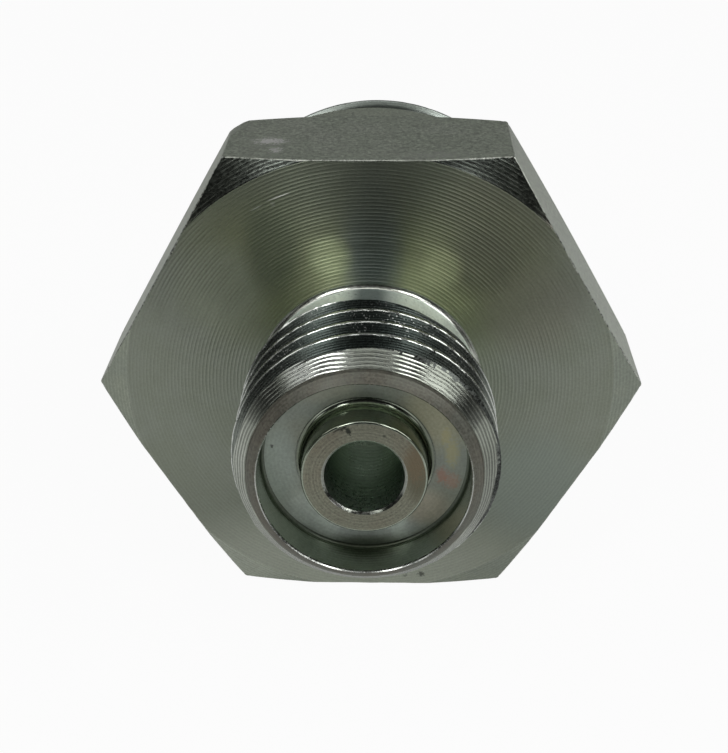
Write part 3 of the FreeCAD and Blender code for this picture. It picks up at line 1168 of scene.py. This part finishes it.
# Marks of the orifice's mouth, with painted highlight and shade
MOUTH_MARKS_AND_PAINTED_LIGHT = (
    # A nick at the lower left, painted bright as a glint: partly wear, partly painted highlight
    Spot((-1.5, -9.97, -1.55), 0.5, (0.95, 0.96, 0.92), 0.9, (1.2, 1.0, 0.8), 0.8),
    # Dark marks beside it
    Spot((-1.95, -9.97, -0.9), 0.4, SOOT_AND_SHADE, 0.8, ragged=0.6),
    Spot((-0.6, -9.97, -2.05), 0.35, SOOT_AND_SHADE, 0.8, ragged=0.6),
    # Painted shade that hides the mouth's reflection at the lower right
    Spot((0.9, -9.97, -1.9), 0.9, SOOT_AND_SHADE, 0.85, (1.2, 1.0, 0.8), 0.5),
)
NOSE_SPOTS = (
    Spot((-0.95, -10.0, 3.0), 0.5, SOOT_AND_SHADE, 1.0, (0.3, 1.0, 1.0), 0.15, -35.0),
    Spot((-0.78, -10.0, 2.72), 0.34, SOOT_AND_SHADE, 1.0, (0.5, 1.0, 1.0), 0.2, 20.0),
    Spot((-1.35, -10.0, 2.75), 0.4, SOOT_AND_SHADE, 0.8, (1.0, 1.0, 0.22), 0.2, 30.0),
    # Darker and browner towards the right
    Spot((2.75, -10.0, 0.2), 1.9, (0.13, 0.125, 0.085), 0.8, (0.5, 1.0, 1.2), 0.0),
    Spot((1.01, -10.0, 2.45), 0.12, SOOT_AND_SHADE, 0.7, ragged=0.2),
    # Browner towards the right
    Spot((2.6, -10.0, 0.9), 1.0, (0.20, 0.155, 0.10), 0.6, (0.8, 1.0, 1.6), 0.2),
)

FINISHES: dict[Zone, SteelFinish] = {
    Zone.ORIFICE: SteelFinish(
        "drilled orifice", (0.56, 0.66, 0.56), (0.50, 0.60, 0.50), 0.30, travel=(0.0, 1.0),
        line_pitch=0.36, line_depth=0.02, line_contrast=0.2, scallop=0.3, waver=1.6),
    Zone.NOSE_FACE: SteelFinish(
        "turned nose", (0.235, 0.24, 0.185), (0.22, 0.21, 0.16), 0.34, line_pitch=0.17,
        line_depth=0.014, line_contrast=0.4, scallop=0.25, anisotropy=0.7, grain=0.2, spots=NOSE_SPOTS),
    Zone.NOSE_SIDE: SteelFinish(
        "nose side", (0.40, 0.45, 0.37), (0.37, 0.41, 0.32), 0.12, travel=(0.0, 1.0), line_pitch=0.18,
        line_depth=0.003, anisotropy=0.5, washes=NOSE_PAINTED_SHADE),
    Zone.RECESS: SteelFinish(
        "turned recess", (0.30, 0.335, 0.29), (0.30, 0.325, 0.265), 0.34, travel=(1.0, -1.0),
        line_pitch=0.22, line_depth=0.003, line_contrast=0.06, anisotropy=0.5, grain=0.1, metallic=0.4,
        washes=RECESS_PAINTED_LIGHT_AND_TONES, spots=RECESS_SPOTS),
    Zone.RECESS_WALL: SteelFinish(
        "recess wall", (0.42, 0.47, 0.385), (0.38, 0.42, 0.34), 0.14, travel=(0.0, 1.0),
        line_pitch=0.22, line_depth=0.004, line_contrast=0.1, anisotropy=0.5),
    # The corner's dark colour is painted shade, which also keeps the keys' glints out of it
    Zone.RECESS_CORNER: SteelFinish(
        "recess corner", (0.13, 0.15, 0.12), (0.12, 0.135, 0.11), 0.38, line_depth=0.003,
        line_contrast=0.1, washes=CORNER_PAINTED_SHADE),
    Zone.RIM: SteelFinish(
        "crowned end", (0.155, 0.162, 0.134), (0.155, 0.148, 0.118), 0.48, line_pitch=0.13,
        line_depth=0.006, line_contrast=0.22, scallop=0.3, anisotropy=0.4, grain=0.25, metallic=0.55),
    Zone.TIP_BEVEL: SteelFinish(
        "tip bevel", (0.46, 0.49, 0.43), (0.38, 0.41, 0.35), 0.20, travel=(0.0, 1.345), line_pitch=0.21,
        line_depth=0.017, line_contrast=0.6, scallop=0.75, anisotropy=0.6, waver=1.2,
        washes=TIP_PAINTED_LIGHT_AND_SHADE),
    Zone.FLANK: SteelFinish(
        "thread flanks", (0.24, 0.265, 0.235), (0.19, 0.21, 0.185), 0.28, line_pitch=0.11,
        line_depth=0.006, line_contrast=0.4, grain=0.07, anisotropy=0.4, sparkle=0.45,
        washes=FLANK_PAINTED_SHADE),
    Zone.CREST: SteelFinish(
        "thread crests", SHINE, (0.62, 0.64, 0.60), 0.22, line_depth=0.003, grain=0.15),
    # The relief's near-white colour is partly painted highlight; its washes paint shade in its middle
    Zone.RELIEF: SteelFinish(
        "turned relief", (0.88, 0.97, 0.87), (0.78, 0.87, 0.78), 0.32, travel=(0.6, 1.0),
        line_pitch=0.13, line_depth=0.006, line_contrast=0.25, scallop=0.4, anisotropy=0.6,
        metallic=0.4, washes=RELIEF_PAINTED_SHADE,
        spots=(Spot((-3.58, -0.95, 4.75), 0.2, SOOT_AND_SHADE, 0.8, (1.0, 1.0, 0.8)),)),
    Zone.ROOT: SteelFinish(
        "root", (0.66, 0.69, 0.62), (0.55, 0.57, 0.50), 0.22, travel=(0.7, -0.7), line_pitch=0.12,
        line_depth=0.02, line_contrast=0.7, anisotropy=0.5),
    Zone.FACE: SteelFinish(
        "turned face", OLIVE, PALE, 0.45, line_depth=0.04, line_contrast=0.08, scallop=0.72,
        anisotropy=0.9, grain=0.07, low_depth=0.2, washes=FACE_PAINTED_LIGHT_AND_TONES, spots=FACE_SPOTS),
    Zone.BEVEL: SteelFinish(
        "turned bevel", (0.28, 0.31, 0.26), OLIVE, 0.18, line_depth=0.0045, line_contrast=0.12,
        scallop=0.75, anisotropy=0.4, grain=0.1, waver=0.6, low_depth=0.1, washes=BEVEL_PAINTED_LIGHT_AND_SHADE),
    Zone.FLAT: SteelFinish(
        "milled flats", (0.46, 0.51, 0.42), (0.49, 0.53, 0.45), 0.42, Marks.MILLED, line_pitch=0.26,
        line_depth=0.02, line_contrast=0.5, grain=0.22, spots=FLAT_SPOTS),
    Zone.COLLAR: SteelFinish(
        "turned collar", (0.52, 0.57, 0.47), (0.50, 0.55, 0.45), 0.42, travel=(0.0, 1.0),
        line_depth=0.006, grain=0.2),
    Zone.REAR_END: SteelFinish(
        "rear end", PALE, OLIVE, 0.34, line_depth=0.008, anisotropy=0.8),
    Zone.BORE: SteelFinish(
        "wide bore", OLIVE, PALE, 0.35, travel=(0.0, 1.0), line_pitch=0.3, line_depth=0.012),
    Zone.REAR_THREAD: SteelFinish(
        "rear thread", (0.44, 0.49, 0.45), (0.40, 0.44, 0.40), 0.40, line_depth=0.004,
        washes=REAR_PAINTED_SHADE),
    Zone.EDGE: SteelFinish(
        "broken edge", (0.48, 0.50, 0.45), (0.28, 0.30, 0.26), 0.40, Marks.MILLED, line_pitch=0.4,
        line_depth=0.006, line_contrast=0.5, grain=0.6),
    Zone.MOUTH: SteelFinish(
        "orifice mouth", (0.34, 0.36, 0.32), (0.30, 0.32, 0.28), 0.22, line_depth=0.003, grain=0.12,
        spots=MOUTH_MARKS_AND_PAINTED_LIGHT),
    # Near black, which draws a dark jagged line along the thread's first edge
    Zone.BURR: SteelFinish(
        "thread burr", (0.05, 0.055, 0.05), (0.12, 0.13, 0.12), 0.35, Marks.MILLED, line_pitch=0.15,
        line_depth=0.01, grain=0.6),
}


@dataclass(frozen=True)
class Lamp:
    """A soft box that faces the part. Angles are in degrees, away in metres and aim in millimetres."""

    name: str
    azimuth: float
    elevation: float
    wide: float
    tall: float
    radiance: float
    away: float = 0.6
    aim: float = 6.0

    def build(self) -> None:
        """Add the lamp. Azimuth 0 is in front, at -Y, and 90 is at +X."""
        data = bpy.data.lights.new(self.name, "AREA")
        data.shape = "RECTANGLE"
        data.size = 2.0 * self.away * math.tan(math.radians(0.5 * self.wide))
        data.size_y = 2.0 * self.away * math.tan(math.radians(0.5 * self.tall))
        data.energy = self.radiance * math.pi * data.size * data.size_y
        side, up = math.radians(self.azimuth), math.radians(self.elevation)
        towards = Vector((math.sin(side) * math.cos(up), -math.cos(side) * math.cos(up), math.sin(up)))
        lamp = bpy.data.objects.new(self.name, data)
        lamp.location = towards * self.away + Vector((0.0, self.aim * MM, 0.0))
        lamp.rotation_euler = towards.to_track_quat("Z", "Y").to_euler()
        lamp.visible_camera = False
        bpy.context.scene.collection.objects.link(lamp)


@dataclass
class Studio:
    """The pale floor, the dark screen, the dim room and the soft boxes."""

    floor_height: float = -13.5
    floor_reach: float = 4.0
    floor_shown: float = 0.95
    floor_mirrored: float = 0.26
    screen_away: float = 105.0
    screen_height: float = 52.0
    screen_half_angle: float = 62.0
    screen_steps: int = 24
    room_light: float = 0.055
    horizon_light: float = 0.2
    horizon_height: float = 0.22
    backdrop: float = 0.95
    lamps: tuple[Lamp, ...] = (
        Lamp("left key", -29.0, 40.0, 9.0, 22.0, 8.5),
        Lamp("right key", 33.0, 40.0, 10.0, 22.0, 6.0),
        Lamp("left spot", -19.0, 19.0, 5.0, 5.0, 1.6, 0.095),
        Lamp("right spot", 18.0, 20.0, 5.0, 5.0, 1.6, 0.095),
        Lamp("left low spot", -30.0, 4.0, 8.0, 9.0, 1.0, 0.098),
        Lamp("right low spot", 33.0, 4.0, 9.0, 9.0, 1.2, 0.098),
        Lamp("left window", -66.0, 40.0, 20.0, 24.0, 1.3),
        Lamp("right window", 69.0, 34.0, 24.0, 26.0, 3.0),
        Lamp("front top box", 0.0, 68.0, 34.0, 14.0, 1.5),
        Lamp("top box", 180.0, 84.0, 60.0, 44.0, 0.2),
        Lamp("rear box", 180.0, 36.0, 70.0, 30.0, 0.26),
        Lamp("left box", -105.0, 30.0, 24.0, 30.0, 0.16),
        Lamp("right box", 105.0, 30.0, 24.0, 30.0, 0.22),
    )

    def stand(self, name: str, verts: list[tuple[float, float, float]], faces: list[tuple[int, ...]],
              material: bpy.types.Material) -> bpy.types.Object:
        """Add one plain object of the studio.

        Args:
            name: Its name.
            verts: Its points in metres.
            faces: Its faces.
            material: Its material.

        Returns:
            The object.
        """
        mesh = bpy.data.meshes.new(name)
        mesh.from_pydata(verts, [], faces)
        mesh.materials.append(material)
        made = bpy.data.objects.new(name, mesh)
        bpy.context.scene.collection.objects.link(made)
        return made

    def floor(self) -> None:
        """Lay the plain white floor, which keeps the part's shadow."""
        material = bpy.data.materials.new("white floor")
        graph = Graph(material)
        path = graph.node("ShaderNodeLightPath")
        seen = Value(graph, path.outputs["Is Camera Ray"])
        mirrored = Value(graph, path.outputs["Is Glossy Ray"])
        matt = graph.node("ShaderNodeBsdfDiffuse", inputs={"Color": (0.86, 0.86, 0.86)})
        glow = graph.node("ShaderNodeEmission", inputs={"Color": WHITE, "Strength": 1.0})
        shown = seen * self.floor_shown + mirrored * self.floor_mirrored
        both = graph.node("ShaderNodeMixShader", inputs={
            0: shown, 1: matt.outputs[0], 2: glow.outputs[0]})
        graph.node("ShaderNodeOutputMaterial", inputs={0: both.outputs[0]})
        reach, height = self.floor_reach, self.floor_height * MM
        corners = [(-reach, -reach), (reach, -reach), (reach, reach), (-reach, reach)]
        verts = [(*corner, height) for corner in corners]
        floor = self.stand("floor", verts, [(0, 1, 2, 3)], material)

    def screen(self) -> None:
        """Stand a low dark screen behind the camera, which only the steel's reflections show."""
        material = bpy.data.materials.new("dark cloth")
        graph = Graph(material)
        matt = graph.node("ShaderNodeBsdfDiffuse", inputs={"Color": (0.03, 0.03, 0.03)})
        graph.node("ShaderNodeOutputMaterial", inputs={0: matt.outputs[0]})
        away, low, high = self.screen_away * MM, self.floor_height * MM, self.screen_height * MM
        steps = self.screen_steps
        verts = []
        for step in range(steps + 1):
            side = math.radians(self.screen_half_angle * (2.0 * step / steps - 1.0))
            for height in (low, high):
                verts.append((away * math.sin(side), -away * math.cos(side), height))
        faces = [(2 * step, 2 * step + 1, 2 * step + 3, 2 * step + 2) for step in range(steps)]
        screen = self.stand("dark screen", verts, faces, material)
        screen.visible_camera = False
        screen.visible_shadow = False
        screen.visible_diffuse = False

    def room(self) -> None:
        """Fill the room with dim light, brighter at the horizon, and show the camera a pale backdrop."""
        world = bpy.data.worlds.new("room")
        graph = Graph(world)
        place = graph.value("ShaderNodeTexCoord", output="Generated")
        split = graph.node("ShaderNodeSeparateXYZ", inputs={0: place})
        height = Value(graph, split.outputs[2])
        dim = self.room_light + height.step(self.horizon_height, 0.0) * self.horizon_light
        seen = graph.value("ShaderNodeLightPath", output="Is Camera Ray")
        strength = dim + seen * (self.backdrop - dim)
        back = graph.node("ShaderNodeBackground", inputs={"Color": WHITE, "Strength": strength})
        graph.node("ShaderNodeOutputWorld", inputs={0: back.outputs[0]})
        bpy.context.scene.world = world

    def build(self) -> None:
        """Set up floor, room and lamps."""
        self.floor()
        self.screen()
        self.room()
        for lamp in self.lamps:
            lamp.build()
        LOG.info("studio: %d lamps", len(self.lamps))


@dataclass(frozen=True)
class PhotoCamera:
    """The camera that looks down on the tip, as the photograph does. Its reach is in metres."""

    azimuth: float = 1.938
    elevation: float = 26.721
    roll: float = -0.584
    distance: float = 78.885
    aside: float = -0.305
    raised: float = 0.651
    lens: float = 66.017
    sensor: float = 36.0
    reach: tuple[float, float] = (0.001, 50.0)

    def build(self) -> None:
        """Add the camera and make it the scene's own."""
        side, up = math.radians(self.azimuth), math.radians(self.elevation)
        back = Vector((math.sin(side) * math.cos(up), -math.cos(side) * math.cos(up), math.sin(up)))
        level = Vector((math.cos(side), math.sin(side), 0.0))
        rise = back.cross(level)
        turn = math.radians(self.roll)
        right = math.cos(turn) * level + math.sin(turn) * rise
        top = math.cos(turn) * rise - math.sin(turn) * level
        place = (self.aside * right + self.raised * top + self.distance * back) * MM
        data = bpy.data.cameras.new("camera")
        data.sensor_width = self.sensor
        data.lens = self.lens
        data.clip_start, data.clip_end = self.reach
        camera = bpy.data.objects.new("camera", data)
        axes = Matrix((right, top, back)).transposed().to_4x4()
        camera.matrix_world = Matrix.Translation(place) @ axes
        bpy.context.scene.collection.objects.link(camera)
        bpy.context.scene.camera = camera
        LOG.info("camera: lens %.2f mm", self.lens)


def main() -> None:
    """Build the adapter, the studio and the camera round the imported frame."""
    logging.basicConfig(level=logging.INFO, format="%(name)s %(message)s")
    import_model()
    AdapterPiece().build()
    Studio().build()
    PhotoCamera().build()
    bpy.context.scene.view_settings.view_transform = "Standard"


if __name__ == "__main__":
    main()
